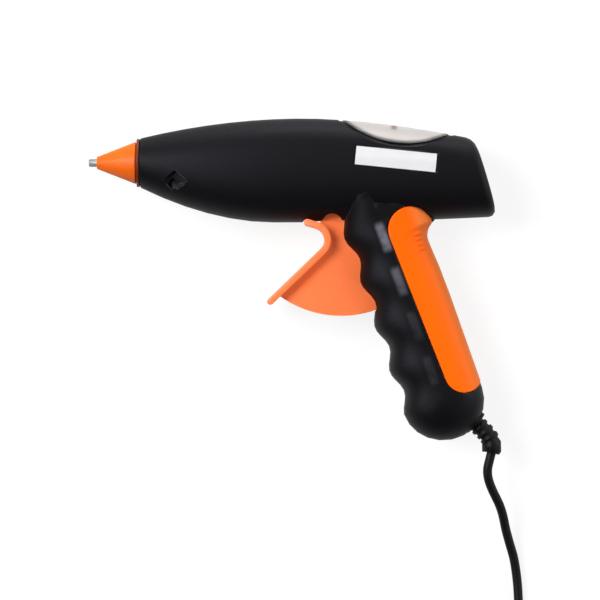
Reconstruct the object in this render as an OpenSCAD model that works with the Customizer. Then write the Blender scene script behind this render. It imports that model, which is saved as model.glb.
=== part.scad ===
// Pistol-grip hot glue gun lying on its right side, sizes in millimetres.
// X runs from the nozzle to the rear, Y up from the grip to the barrel, Z up from the table.

/* [Housing] */
// Diameter of the barrel at its front face
nose_d = 24.5; // [23:0.5:27]
// Length on the stick axis from the front face to the rear face
barrel_l = 170.5; // [167:0.5:175]
// Height of the barrel's crest above the stick axis
crest_h = 22.25; // [21.5:0.25:24]
// Distance from the front face to the crest
crest_x = 82; // [78:1:86]
// Drop from the crest to the top of the rear face
rear_drop = 10.2; // [9:0.1:11.5]
// Depth of the belly below the stick axis
belly_h = 29.75; // [28.5:0.25:31]
// Distance from the front face to the lowest part of the belly
belly_x = 66; // [60:1:70]
// Rise of the belly towards the rear face
belly_rise = 2.5; // [1.5:0.5:3.5]
// Full width of the barrel
housing_w = 40; // [39:0.5:43]
// Slant of the rear face from upright
rear_slant = 16.5; // [15:0.5:20]
// Radius round the rear edge
rear_r = 4.2; // [3:0.2:5]
// Wall of the moulded halves
wall = 2.2; // [1.8:0.1:2.5]
// Width of the parting gap between the halves
parting = 0.1; // [0.05:0.01:0.2]

/* [Handle] */
// Tilt of the handle from upright
handle_tilt = 19.5; // [18:0.5:21]
// Distance from the front face back to the centre of the handle's foot
foot_x = 151; // [149:0.5:153]
// Depth of the centre of the handle's foot below the stick axis
foot_drop = 119; // [116:1:122]
// Mean distance from the handle's line to its front
grip_front = 18.3; // [17.5:0.1:19.5]
// Distance from the handle's line to its back
grip_back = 21.2; // [20.5:0.1:22]
// Full width of the handle
handle_w = 34; // [33:0.5:35]
// Half height of the finger ridges
ridge_h = 1.9; // [1:0.1:2.2]
// Pitch of the finger ridges
ridge_pitch = 23.3; // [22:0.1:24.5]
// Radius of the handle's round foot
foot_r = 20; // [19:0.5:21]
// Radius of the web between the handle's back and the barrel
web_r = 8.5; // [7:0.5:9]

/* [Grip insert and window] */
// Radius of the soft insert's upper end
insert_top_r = 11.5; // [10:0.5:12]
// Radius of the soft insert's lower end
insert_low_r = 10; // [9:0.5:10.5]
// Depth of the recess that holds the insert
insert_t = 2; // [1.5:0.1:2.4]
// Height of the insert above the handle's skin
insert_proud = 0.4; // [0.2:0.1:0.7]
// Gap all round the insert and the window
trim_gap = 0.3; // [0.2:0.05:0.4]
// Distance from the front face to the middle of the window
window_x = 132.8; // [131:0.2:135]
// Radius of the window's lower edge
window_r = 46.5; // [44:0.5:49]
// Depth of the window below the barrel's top
window_drop = 8.9; // [8:0.1:9.5]
// Thickness of the window
window_t = 1.4; // [1:0.1:1.5]
// Width of the sunk rim round the window
rim_w = 1.4; // [1:0.1:2]
// Depth of the sunk rim and of the label's recess
recess_d = 0.5; // [0.3:0.1:0.7]
// Length of the label's recess
label_l = 42; // [38:0.5:44]
// Height of the label's recess
label_h = 10; // [8:0.5:11]

/* [Hot end] */
// Diameter of the glue sticks
stick_d = 11.2; // [11:0.1:11.4]
// Clear bore of the rear guide
guide_bore = 12; // [11.8:0.1:12.2]
// Length of the nozzle in front of the housing
nozzle_l = 25.5; // [24:0.5:28]
// Diameter of the nozzle's bare tip
tip_d = 4; // [3.6:0.1:4.6]
// Diameter of the nozzle's outlet
outlet_d = 1.8; // [1.2:0.1:2.4]
// Diameter of the nozzle's threaded shank
shank_d = 10; // [9:0.2:10.6]
// Diameter of the soft cone over the nozzle at its base
cone_d = 21; // [20:0.5:22]
// Outer diameter of the melt chamber
chamber_d = 18; // [17.6:0.2:19]
// Length of the melt chamber behind its front collar
chamber_l = 50; // [46:1:52]
// Outer diameter of the stick sleeve
sleeve_d = 19.2; // [18.4:0.2:20]
// Length of the heater
heater_l = 22; // [18:1:23]

/* [Feed] */
// Angle of a full squeeze of the trigger
squeeze = 26; // [20:1:26]
// Distance from the front face back to the trigger's pivot
pivot_x = 100.5; // [99.5:0.25:101.5]
// Depth of the trigger's pivot below the stick axis
pivot_drop = 24; // [23.5:0.25:24.5]
// Diameter of the trigger's pivot pin
pivot_d = 4; // [3:0.2:4.4]
// Radius of the trigger's lower edge round its pivot
trigger_r = 52.4; // [51:0.2:53]
// Width of the trigger's finger plate
plate_w = 22; // [20:0.5:24]
// Thickness of the trigger's finger plate
plate_t = 3.2; // [2.6:0.1:3.6]
// Width across the trigger's cheeks
cheek_w = 10.4; // [10:0.2:12]
// Diameter of the carriage's side pins
side_pin_d = 3.6; // [3:0.1:4]
// Length of the feed carriage
carriage_l = 18; // [16:0.5:20]
// Bore of the feed carriage
carriage_bore = 12.8; // [12.4:0.1:13]

/* [Fasteners] */
// Shank diameter of the case screws
screw_d = 3; // [2.5:0.1:3.2]
// Head diameter of the case screws
head_d = 5.6; // [5:0.1:6]
// Height from the parting plane to the screw heads' seats
head_seat = 9; // [8:0.25:9.5]

/* [Cord] */
// Diameter of the mains cord
cord_d = 4.6; // [4.2:0.1:4.8]
// Diameter of the boot's flange
flange_d = 12.7; // [12:0.1:13.4]
// Diameter over the boot's ribs
rib_d = 9.6; // [8.6:0.1:10]
// Number of ribs on the boot
rib_count = 3; // [2:1:4]
// Turns of the stored cord in each of its two layers
coil_turns = 4; // [3:1:4]
// Length of the plug's body
plug_l = 35; // [32:0.5:38]
// Width of the plug's body at its pin face
plug_w = 26; // [24:0.5:28]
// Thickness of the plug's body
plug_t = 13.7; // [13:0.1:14.5]
// Spacing of the plug's pins
pin_pitch = 18.6; // [18:0.1:19]

/* [Hidden] */
$fn = 48;

// Running clearance of pins and shafts, and seating clearance of held pieces
run_gap = 0.05;
seat_gap = 0.15;
// Room beside the trigger's cheeks and below its lower edge
slot_gap = 0.6;

nose_r = nose_d / 2;
half_w = housing_w / 2;
slope = tan(rear_slant);
rear_top_x = barrel_l - slope * (crest_h - rear_drop);
// Where the barrel reaches its full width, and where it starts to narrow again
full_x = 75;
tail_x = 120;
tail_narrow = 1.5;
// Where the sections start to lean towards the rear face
lean_x = 85;

foot = [foot_x, -foot_drop];
pivot = [pivot_x, -pivot_drop];
// Top of the handle's form, inside the barrel
handle_top = 112;
first_ridge = 22.5;
// Where the web behind the handle starts to sweep out
web_u = 78;
// The front leans back up to lean_top, and flares out under the barrel
front_lean = 0.017;
lean_top = 45;
front_flare = 0.4;
flare_u = 70;
foot_bulge = 1;
// Line between the ridged front and the smooth back
handle_mid = -1.5;

chamber_r = chamber_d / 2;
sleeve_r = sleeve_d / 2;

// The finished part stands on the table below its own middle
origin_x = (barrel_l + slope * (belly_h - belly_rise - rear_r) - nozzle_l) / 2;
origin_y = (crest_h - foot_drop - 0.98 * foot_r) / 2;

function smooth(t) = let (c = min(max(t, 0), 1)) c * c * (3 - 2 * c);
function super(c, e) = sign(c) * pow(abs(c), 2 / e);
function circle_points(c, r, a0, a1, n) = [for (i = [0:n]) let (a = a0 + (a1 - a0) * i / n)
    c + r * [cos(a), sin(a)]];

// Outline of the barrel seen from the side, and its half width
function top_y(x) = x < crest_x
    ? nose_r + (crest_h - nose_r) * (1 - pow(1 - max(x, 0) / crest_x, 2))
    : crest_h - rear_drop * pow((x - crest_x) / (rear_top_x - crest_x), 1.7);
function belly_y(x) = x < belly_x
    ? -nose_r - (belly_h - nose_r) * (1 - pow(1 - max(x, 0) / belly_x, 1.87))
    : belly_rise * pow((x - belly_x) / (barrel_l - belly_x), 2) - belly_h;
function half_at(x) = x < full_x
    ? nose_r + (half_w - nose_r) * (1 - pow(1 - max(x, 0) / full_x, 2))
    : half_w - tail_narrow * pow(max(x - tail_x, 0) / (barrel_l - tail_x), 2);
function lean(s) = slope * smooth((s - lean_x) / (barrel_l - 2 * rear_r - lean_x));

// Point of the barrel's skin at angle a round section s, drawn in by inset
function barrel_skin(s, a, inset) = let (
        k = lean(s),
        hi = top_y(s - k * top_y(s)) - inset,
        lo = belly_y(s - k * belly_y(s)) + inset,
        e = 2 + 0.4 * min(s / 60, 1),
        y = (hi + lo) / 2 + (hi - lo) / 2 * super(cos(a), e))
    [s - k * y, y, (half_at(s) - inset) * super(sin(a), e)];
function barrel_ring(s, inset, n) = [for (i = [0:n - 1]) barrel_skin(s, 360 * i / n, inset)];

// Line of the handle: u runs up from the foot, v towards the fingers
function handle_point(u, v) = foot + [-u * sin(handle_tilt) - v * cos(handle_tilt),
    u * cos(handle_tilt) - v * sin(handle_tilt)];
function flare(u) = let (t = min(max(u - web_u, 0), 0.98 * web_r)) web_r - sqrt(web_r * web_r - t * t);
function front_v(u, ridges) = grip_front - front_lean * min(u, lean_top)
    + front_flare * smooth((u - flare_u) / 30)
    + ridge_h * (ridges ? cos(360 * (u - first_ridge) / ridge_pitch) : -1);
function back_v(u) = 1.2 * smooth((u - 55) / 25) - grip_back - flare(u);
// The ridged front stands out sideways from the back, and most where it runs on to the barrel
side_raise = 1.5;
top_raise = 2;
function raise(u) = side_raise * smooth(u / 25) * (0.75 - 0.25 * sin(360 * (u - first_ridge) / ridge_pitch))
    + top_raise * smooth((u - 90) / 22);
function handle_half(u) = handle_w / 2 + foot_bulge * exp(-u * u / 324) - 1.5 * smooth((u - 98) / 14);

// Point of the handle's skin at angle t round section u; a is the angle below the foot's centre
function handle_skin(u, a, t, inset, ridges) = let (
        reach = cos(t) > 0 ? front_v(u, ridges) - inset - handle_mid : handle_mid - back_v(u) - inset,
        w = handle_half(u) - inset + (ridges && cos(t) > 0.01 ? raise(u) : 0))
    [-handle_mid - reach * cos(a) * super(cos(t), 2.4), u - (foot_r - inset) * sin(a),
        w * cos(a) * super(sin(t), 2.4)];
// The outer sections have a crease between the ridged front and the smooth back
front_angles = [0, 18, 36, 54, 72, 86];
crease_angles = concat(front_angles, [for (t = [90:15:270]) t], [for (i = [5:-1:1]) 360 - front_angles[i]]);
function handle_ring(u, a, inset, back_inset, angles, ridges) = [for (t = angles)
    handle_skin(u, a, t, cos(t) > 0.1 ? inset : back_inset, ridges)];

// Closed skin over sections that turn left-handed round the direction they are listed in
module skin(rings) {
    n = len(rings[0]);
    m = len(rings);
    ends = [[for (i = [0:n - 1]) i], [for (i = [n - 1:-1:0]) (m - 1) * n + i]];
    sides = [for (j = [0:m - 2], i = [0:n - 1]) let (
            a = j * n + i,
            b = j * n + (i + 1) % n,
            c = b + n,
            d = a + n)
        each [[a, d, c], [a, c, b]]];
    polyhedron([for (r = rings) each r], concat(ends, sides));
}

// Rings square to a path of points, with one radius a point
function unit(v) = v / norm(v);
function heading(p, i) = unit(p[min(i + 1, len(p) - 1)] - p[max(i - 1, 0)]);
function tube_rings(p, r, n) = [for (i = [0:len(p) - 1]) let (
        t = heading(p, i),
        side = unit(cross([0, 0, 1], t)),
        up = cross(t, side))
    [for (k = [0:n - 1]) let (a = 360 * k / n)
        p[i] + (is_list(r) ? r[i] : r) * (cos(a) * side + sin(a) * up)]];

// Smooth path through points chosen by hand
function between(a, b, c, d, t) = 0.5 * (2 * b + (c - a) * t + (2 * a - 5 * b + 4 * c - d) * t * t
    + (3 * b - a - 3 * c + d) * t * t * t);
function smooth_path(p, steps) = let (m = len(p) - 1) [for (i = [0:m - 1], k = [0:steps - 1])
        between(p[max(i - 1, 0)], p[i], p[i + 1], p[min(i + 2, m)], k / steps), p[m]];
// The same with a straight first and last stretch, so that its ends are square to what they meet
function led_path(p, steps) = concat([p[0]],
    smooth_path([for (i = [1:len(p) - 2]) p[i]], steps), [p[len(p) - 1]]);
function path_length(p, i = 0) = i >= len(p) - 1 ? 0 : norm(p[i + 1] - p[i]) + path_length(p, i + 1);

// Outer and inner forms of the housing
module barrel_form(inset = 0, n = 32, steps = 15) {
    r = max(rear_r - inset, 0.6);
    last = barrel_l - inset - r;
    skin(concat(
        [barrel_ring(inset, inset + 0.6, n)],
        [for (i = [0:steps]) barrel_ring(inset + 0.6 + (last - inset - 0.6) * i / steps, inset, n)],
        [for (a = [30:30:90]) barrel_ring(last + r * sin(a), inset + r * (1 - cos(a)), n)]));
}

module in_handle() translate(foot) rotate(handle_tilt) children();

module handle_form(inset = 0, back_inset = 0, ridges = true, n = 16, step = ridge_pitch / 8) {
    angles = ridges ? crease_angles : [for (i = [0:n - 1]) 360 * i / n];
    stations = concat([for (u = [0:step:web_u - 1]) u], [for (i = [0:5]) web_u + i * web_r / 5],
        [for (u = [web_u + web_r + step:step:handle_top - step / 2]) u], [handle_top]);
    in_handle() skin(concat(
        [for (a = [80:-16:16]) handle_ring(0, a, inset, back_inset, angles, ridges)],
        [for (u = stations) handle_ring(u, 0, inset, back_inset, angles, ridges)]));
}

module outer_form() {
    barrel_form();
    handle_form();
}

// The wall is thicker behind the insert's recess
floor_t = 1.8;
module inner_handle() handle_form(wall, insert_t + floor_t, false, 16, 28);
module inner_form() {
    barrel_form(wall, 16, 7);
    inner_handle();
}

// Form that trims the inner fittings halfway through the wall
module middle_form() {
    barrel_form(wall / 2, 16, 9);
    handle_form(wall / 2, insert_t + floor_t / 2, false, 16, 28);
}

module half_space(side) {
    low = side > 0 ? parting / 2 : -half_w - 1;
    translate([-5, -foot_drop - foot_r - 5, low])
        cube([barrel_l + 40, foot_drop + foot_r + crest_h + 10, half_w + 1 - parting / 2]);
}

// Side outline of the soft insert, grown by extra
insert_top = handle_point(85.9, -13.5);
insert_low = handle_point(10.2, -14.7);
module insert_outline(extra = 0) {
    translate([0, 0, -half_w - 5]) linear_extrude(housing_w + 10) hull() {
        translate(insert_top) circle(insert_top_r + extra, $fn = 32);
        translate(insert_low) circle(insert_low_r + extra, $fn = 32);
    }
}

window_y = top_y(window_x) - window_drop + window_r;
module window_outline(extra = 0) {
    translate([window_x, window_y, 0])
        cylinder(r = window_r + extra, h = housing_w + 10, center = true, $fn = 72);
}

// Places of the case screws
screws = [[57, belly_y(57) + 6.8], [80, top_y(80) - 6.2], [barrel_l - 7, belly_y(barrel_l) + 6.8],
    [127.2, belly_y(127.2) + 8.9], handle_point(44.3, 4), handle_point(-1.7, 9)];
boss_r = head_d / 2 + 1.9;

// Lengths along the stick axis
collar_x = 6;
chamber_end = collar_x + chamber_l;
spigot_l = 8;
sleeve_end = chamber_end + spigot_l + 14;
guide_x = barrel_l - 14.5;
rest_lean = squeeze / 2;
carriage_x = pivot_x + pivot_drop * tan(rest_lean);
carriage_stroke = 2 * pivot_drop * tan(rest_lean);
echo(carriage_rest_x = carriage_x, carriage_stroke = carriage_stroke);

module along_x(x) translate([x, 0, 0]) rotate([0, 90, 0]) children();

// Plate across the barrel with a round seat in it and a window for the leads
lead_y = -14;
module bulkhead(x, r) {
    difference() {
        translate([x, -belly_h, -half_w]) cube([wall, belly_h + crest_h, housing_w]);
        along_x(x - 1) cylinder(r = r + seat_gap, h = wall + 2);
        translate([x - 1, lead_y - 3, -half_w + 6]) cube([wall + 2, 6, housing_w - 12]);
    }
}

// Rails that carry the carriage's wings
wing_y = 8.5;
wing_t = 2;
wing_z = 14;
rail_z = 11;
rail_t = 1.5;
rail_gap = 0.3;
module rails() {
    from = carriage_x - carriage_stroke - carriage_l / 2 - 1;
    for (y = [wing_y - wing_t / 2 - rail_gap - rail_t, wing_y + wing_t / 2 + rail_gap], z = [rail_z, -half_w])
        translate([from, y, z]) cube([carriage_stroke + carriage_l + 2, rail_t, half_w - rail_z]);
}

// Seat of the boot in the foot's rear corner
boot_start = [166.9, -129.25];
boot_lip_r = cord_d / 2 + 2.8;
boot_wall = 2.6;
boot_heading = -42;
module at_boot() translate(concat(boot_start, 0)) rotate(boot_heading) rotate([0, 90, 0]) children();

// Square socket for a wire stand, behind the nose
socket = [17.75, -9.5];
socket_side = 9.2;
socket_hole = 4.4;
socket_face = 12.6;
socket_floor = 10.6;
module diamond(side, z0, z1) {
    hull() for (p = [[1, 0], [-1, 0], [0, 0.76], [0, -0.76]])
        translate(concat(socket + p * (side * 0.707 - 0.8), z0)) cylinder(r = 0.8, h = z1 - z0, $fn = 16);
}

// Post for the spring's rear end
spring_y = -11.5;
spring_post_x = 152;
post_r = 2;

// Lamp under the window, on a shelf of the right half
lamp_x = window_x - 5.8;
lamp_d = 6;
lamp_l = 5.5;
lamp_gap = 0.8;
lamp_foot = top_y(lamp_x) - window_t - lamp_gap - lamp_d / 2 - lamp_l;
shelf_t = 1.5;

// Bare recess for a label beside the window
label_at = [127.8, 1.2];
label_tilt = 5.7;
label_r = 0.6;
module label_outline() {
    translate([label_at.x, label_at.y, 0]) rotate(-label_tilt) hull() for (x = [-1, 1], y = [-1, 1])
        translate([x * (label_l / 2 - label_r), y * (label_h / 2 - label_r), 0])
            cylinder(r = label_r, h = half_w + 5, $fn = 12);
}

// What stands inside a half, before it is trimmed to the skin
module fittings(side) {
    bulkhead(collar_x + 4, chamber_r);
    bulkhead(chamber_end - 5, chamber_r + 3);
    bulkhead(sleeve_end - 5, sleeve_r);
    bulkhead(guide_x + 5, guide_bore / 2 + 1.8);
    rails();
    for (p = screws) hull() {
        translate(concat(p, -half_w)) cylinder(r = boss_r, h = housing_w, $fn = 13);
        translate(concat(p + [1.5, 0], -half_w)) cylinder(r = boss_r - 1, h = housing_w, $fn = 13);
    }
    for (z = [cheek_w / 2 + slot_gap, -half_w])
        translate(concat(pivot, z)) cylinder(r = pivot_d / 2 + 2.4, h = half_w - cheek_w / 2 - slot_gap);
    translate([spring_post_x, spring_y, -half_w]) cylinder(r = post_r, h = housing_w, $fn = 24);
    diamond(socket_side + 2 * wall, side > 0 ? socket_floor - wall / 2 : -half_w,
        side > 0 ? half_w : wall / 2 - socket_floor);
    // Posts of the cord clamp and the shelf under the pilot lamp, on the right half
    if (side < 0) for (p = clamp_posts) translate(concat(p, -half_w)) cylinder(r = 2.8, h = half_w, $fn = 14);
    if (side < 0) translate([lamp_x - 5, lamp_foot - shelf_t - seat_gap, -half_w])
        cube([10, shelf_t, half_w + 4]);
    // Floor and rim of the insert's recess, where it reaches into the barrel
    difference() {
        insert_outline(trim_gap + wall);
        inner_handle();
    }
    // Pads beside the terminals
    for (z = [block_size.z / 2 + seat_gap, -half_w]) translate(concat(block, z))
        cylinder(r = 3, h = half_w - block_size.z / 2 - seat_gap, $fn = 16);
}

// What is cut from both halves
module openings(side) {
    // Nose, rear guide and boot
    along_x(-1) cylinder(r = chamber_r + 0.6, h = collar_x + 5);
    along_x(guide_x + 3) cylinder(r = guide_bore / 2 + 1.8 + seat_gap, h = 40);
    at_boot() translate([0, 0, -14]) cylinder(r = cord_d / 2 + 1.9, h = 30);
    at_boot() translate([0, 0, -14]) cylinder(r = boot_lip_r + seat_gap, h = 14 - boot_wall + seat_gap);
    at_boot() translate([0, 0, -0.3]) cylinder(r = flange_d / 2 + seat_gap, h = 12);
    // Window with its ledge and sunk rim
    window_outline(-2);
    difference() {
        window_outline(trim_gap);
        barrel_form(window_t + 0.1);
    }
    difference() {
        window_outline(trim_gap + rim_w);
        barrel_form(recess_d);
    }
    // Recess for the insert
    difference() {
        insert_outline(trim_gap);
        handle_form(insert_t, insert_t, false, 20, 14);
    }
    // Slot and arch for the trigger
    trigger_slot();
    // Stand socket and its sunk face
    diamond(socket_side, side > 0 ? socket_face : -half_w, side > 0 ? half_w : -socket_face);
    translate(concat(socket + [-1, -1.4], side > 0 ? socket_floor : -half_w)) rotate(45)
        translate([-socket_hole / 2, -socket_hole / 2, 0])
            cube([socket_hole, socket_hole, half_w - socket_floor]);
    if (side > 0) difference() {
        label_outline();
        barrel_form(recess_d);
    }
    // Pins and screws
    for (p = clamp_posts) translate(concat(p, -9))
        cylinder(r = clamp_screw_d / 2 + run_gap, h = 12, $fn = 16);
    translate(concat(pivot, 0)) cylinder(r = pivot_d / 2 + run_gap, h = cheek_w + 8, center = true);
    for (p = screws) translate(concat(p, 0)) {
        cylinder(r = screw_d / 2 + run_gap, h = 2 * head_seat + 1, center = true, $fn = 14);
        translate([0, 0, -half_w - 1]) cylinder(r = head_d / 2 + 0.4, h = half_w + 1 - head_seat, $fn = 18);
    }
}

// The arch is as wide as the barrel, and the slot is as wide as the cheeks
arch = [96, -30.8];
arch_r = 5.3;
// The slot runs forwards to the trigger's lip, which rests in a seat in the belly
slot_ahead = 19;
slot_behind = 22;
lip_gap = 0.4;
module trigger_slot() {
    w = cheek_w + 2 * slot_gap;
    translate([0, 0, -w / 2]) linear_extrude(w) intersection() {
        translate(pivot) circle(trigger_r + slot_gap, $fn = 72);
        translate([pivot_x - slot_ahead, -120])
            square([slot_ahead + slot_behind, 120 + belly_y(pivot_x) + 9]);
    }
    translate(concat(arch, 0)) cylinder(r = arch_r, h = housing_w + 2, center = true);
    hull() for (p = [lip, plate_line[1]]) translate(concat(p, 0))
        cylinder(r = plate_t / 2 + lip_gap, h = plate_w + 2 * slot_gap, center = true, $fn = 16);
}

module housing_half(side) {
    difference() {
        intersection() {
            union() {
                difference() {
                    outer_form();
                    inner_form();
                }
                intersection() {
                    middle_form();
                    fittings(side);
                }
            }
            half_space(side);
        }
        openings(side);
    }
}

module housing_left() color("#1b1b1e") housing_half(1, $fn = 24);
module housing_right() color("#1b1b1e") housing_half(-1, $fn = 24);

// Saddle that wraps the handle's back, with fine grip ribs below the web
insert_ribs = 4;
first_rib = 75;
insert_rib_pitch = 2.6;
insert_stations = concat([-2, 10, 30, 50, 64, 73], [for (i = [0:5]) web_u + i * web_r / 5], [98]);
module grip_insert() color("#ff6e00") union() {
    intersection() {
        in_handle() skin([for (u = insert_stations) concat(
            [for (t = [72:12:288]) handle_skin(u, 0, t, -insert_proud, false)],
            [for (t = [288:-18:72]) handle_skin(u, 0, t, insert_t - 0.2, false)])]);
        insert_outline();
    }
    in_handle() for (i = [0:insert_ribs - 1], side = [-1, 1]) let (u = first_rib + insert_rib_pitch * i)
        hull() for (t = [128, 146])
            translate(handle_skin(u, 0, 180 + side * (180 - t), 0.1 - insert_proud, false))
                sphere(0.5, $fn = 6);
}

module window() color("#e8e6e2") intersection() {
    skin([for (s = [92:9:164]) concat(
        [for (a = [-78.75:11.25:78.75]) barrel_skin(s, a, 0)],
        [for (a = [78.75:-11.25:-78.75]) barrel_skin(s, a, window_t - 0.1)])]);
    window_outline();
}

// Sections of round pieces are drawn as [radius, distance along the axis]
module turned(points) rotate([0, 90, 0]) rotate_extrude() polygon(points);

nozzle_base = -3.5;
nozzle_r = 7.5;
tip_x = -nozzle_l;
bare_l = 4.2;
module nozzle() color("#b9b6ae") turned([
    [outlet_d / 2, tip_x], [tip_d / 2 - 0.4, tip_x], [tip_d / 2, tip_x + 0.4],
    [tip_d / 2, tip_x + bare_l], [nozzle_r, nozzle_base], [nozzle_r, -0.6], [shank_d / 2, -0.6],
    [shank_d / 2, collar_x + 2], [shank_d / 2 - 2, collar_x + 2], [shank_d / 2 - 2, tip_x + 15],
    [outlet_d / 2, tip_x + 10]]);

module nozzle_sleeve() color("#ff7d1e") turned([
    [tip_d / 2 + seat_gap, tip_x + bare_l - 0.2], [tip_d / 2 + 1, tip_x + bare_l - 0.2],
    [cone_d / 2, -2.2], [cone_d / 2 - 0.8, -1.8], [cone_d / 2 - 0.8, -1.5], [nose_r - 0.2, -1.5],
    [nose_r - 0.2, -0.2], [nozzle_r + seat_gap, -0.2], [nozzle_r + seat_gap, nozzle_base]]);

fin_count = 3;
fin_t = 1.6;
chamber_bore = stick_d + 0.8;
pocket_y = -chamber_r - 1.6;
heater_t = 4.4;
heater_w = 10.6;
block_wall = 1.5;
heater_x = collar_x + 18;
module melt_chamber() color("#a9abad") difference() {
    union() {
        along_x(0.5) cylinder(r = chamber_r - 1, h = collar_x);
        along_x(collar_x) cylinder(r = chamber_r, h = chamber_l);
        along_x(chamber_end - 0.5) cylinder(r = chamber_bore / 2 + 1.5, h = spigot_l + 0.5);
        for (i = [0:fin_count - 1])
            along_x(heater_x + i * (heater_l - fin_t) / (fin_count - 1))
                cylinder(r = chamber_r + 1.2, h = fin_t);
        translate([heater_x - 2, pocket_y - heater_t - block_wall, -heater_w / 2 - block_wall])
            cube([heater_l + 4, heater_t + block_wall - pocket_y - chamber_r + 5, heater_w + 2 * block_wall]);
    }
    along_x(0) cylinder(r = shank_d / 2 + run_gap, h = collar_x + 2.4);
    along_x(0) cylinder(r = shank_d / 2 - 2, h = collar_x + 12);
    along_x(collar_x + 8) cylinder(r = chamber_bore / 2, h = chamber_l + spigot_l);
    translate([heater_x - 3, pocket_y - heater_t - seat_gap, -heater_w / 2 - seat_gap])
        cube([heater_l + 6, heater_t + 2 * seat_gap, heater_w + 2 * seat_gap]);
}

module heater() color("#8d5a3b") translate([heater_x, pocket_y - heater_t, -heater_w / 2])
    cube([heater_l, heater_t, heater_w]);

// Spring strip that presses the heater block against the chamber
clip_t = 0.8;
module heater_clip() color("#c4c6c8") {
    low = pocket_y - heater_t - block_wall - clip_t - 0.1;
    side = heater_w / 2 + block_wall + 0.1;
    translate([heater_x + heater_l / 2 - 5, low, -side - clip_t]) cube([10, clip_t, 2 * (side + clip_t)]);
    for (z = [-side - clip_t, side])
        translate([heater_x + heater_l / 2 - 5, low, z]) cube([10, heater_t + 3, clip_t]);
}

module front_spacer() color("#d9d2c0") difference() {
    union() {
        along_x(0.3) cylinder(r = chamber_r + 0.45, h = collar_x - 0.5);
        along_x(wall + 0.8) cylinder(r = chamber_r + 1.2, h = collar_x - wall - 1);
    }
    along_x(0) cylinder(r = chamber_r - 1 + 0.1, h = collar_x + 1);
}

module rear_spacer() color("#d9d2c0") difference() {
    along_x(chamber_end - 6) cylinder(r = chamber_r + 3, h = wall + 2);
    along_x(chamber_end - 7) cylinder(r = chamber_r + 0.1, h = wall + 4);
}

sleeve_x = chamber_end + 0.2;
module stick_sleeve() color("#c8462e") difference() {
    along_x(sleeve_x) cylinder(r = sleeve_r, h = sleeve_end - sleeve_x);
    along_x(sleeve_x - 1) cylinder(r = chamber_bore / 2 + 1.5 + 0.1, h = spigot_l + 1);
    along_x(sleeve_x) cylinder(r = chamber_bore / 2 + 0.2, h = sleeve_end);
}

clip_wire = 1.2;
module sleeve_clip() color("#c4c6c8") translate([sleeve_x + 4, 0, 0]) rotate([0, 90, 0])
    rotate_extrude() translate([sleeve_r + clip_wire / 2 + 0.05, 0]) circle(d = clip_wire, $fn = 24);

// Carriage with wings, side pins, ears for the claw and a lug for the spring
ear_x = carriage_x - 3;
ear_y = 12;
ear_t = 2;
claw_w = 5;
claw_pin_d = 3;
lug_x = carriage_x + carriage_l / 2;
carriage_r = carriage_bore / 2 + 1.6;
module feed_carriage() color("#3a3d42") difference() {
    union() {
        along_x(carriage_x - carriage_l / 2) cylinder(r = carriage_r, h = carriage_l);
        translate([carriage_x - 7, wing_y - wing_t / 2, -wing_z]) cube([14, wing_t, 2 * wing_z]);
        translate([carriage_x, 0, 0]) cylinder(d = side_pin_d, h = 2 * 11.4, center = true);
        for (z = [claw_w / 2 + 0.3, -claw_w / 2 - 0.3 - ear_t])
            translate([ear_x, ear_y, z]) {
                cylinder(r = claw_pin_d / 2 + 1.6, h = ear_t);
                translate([-claw_pin_d / 2 - 1.6, -7, 0]) cube([claw_pin_d + 3.2, 7, ear_t]);
            }
        translate([lug_x - 3, spring_y - 2.5, -1.5]) cube([3, 2.5 - spring_y - carriage_r + 1, 3]);
    }
    along_x(carriage_x - carriage_l) cylinder(d = carriage_bore, h = 2 * carriage_l);
    // Slot over the claw and the pin's holes
    translate([carriage_x - 6.5, 3, -claw_w / 2 - 0.3]) cube([15, 12, claw_w + 0.6]);
    translate([ear_x, ear_y, 0]) cylinder(r = claw_pin_d / 2 + run_gap, h = 30, center = true);
}

// Toothed claw that bites the stick from above
toe = [6, 6.3 - ear_y];
module grip_claw() color("#9a9da0") translate([ear_x, ear_y, -claw_w / 2]) difference() {
    linear_extrude(claw_w) union() {
        circle(claw_pin_d / 2 + 1.5);
        polygon([[-1.5, -2.6], [toe.x - 2.4, toe.y + 1.4], [toe.x - 1.6, toe.y + 0.2],
            [toe.x - 0.8, toe.y + 1], toe, [toe.x + 1.2, toe.y + 2.6], [2.6, 1.5]]);
    }
    translate([0, 0, -1]) cylinder(r = claw_pin_d / 2 + run_gap, h = claw_w + 2);
}

module claw_pin() color("#c4c6c8") translate([ear_x, ear_y, 0])
    cylinder(d = claw_pin_d, h = claw_w + 0.6 + 2 * ear_t, center = true);

// Trigger: finger plate, two cheeks, hub and two forked arms
cheek_t = 2;
hub_r = 5;
arm_in = carriage_r + 0.5;
arm_t = 2;
fork_gap = 0.2;
arm_r = 29;
shoulder_r = 10;
lip = [83.6, -29.8];
bend = [86, -38.6];
bend_r = 7.7;
bend_arc = [70, -45];
tip = [65.2, -69.3];
plate_line = concat([lip], circle_points(bend, bend_r, bend_arc[0], bend_arc[1], 12), [tip]);
// The lower edge runs from inside the handle to the finger plate
edge_arc = [-66, -127];

// Band of one thickness along a line, with round ends
function side_of(p, i) = let (t = heading(p, i)) [-t.y, t.x];
function round_end(c, side) = let (a = atan2(side.y, side.x))
    [for (turn = [22.5:22.5:157.5]) c + norm(side) * [cos(a - turn), sin(a - turn)]];
function band(p, t) = let (last = len(p) - 1) concat(
    [for (i = [0:last]) p[i] + t / 2 * side_of(p, i)], round_end(p[last], t / 2 * side_of(p, last)),
    [for (i = [last:-1:0]) p[i] - t / 2 * side_of(p, i)], round_end(p[0], -t / 2 * side_of(p, 0)));

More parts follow.
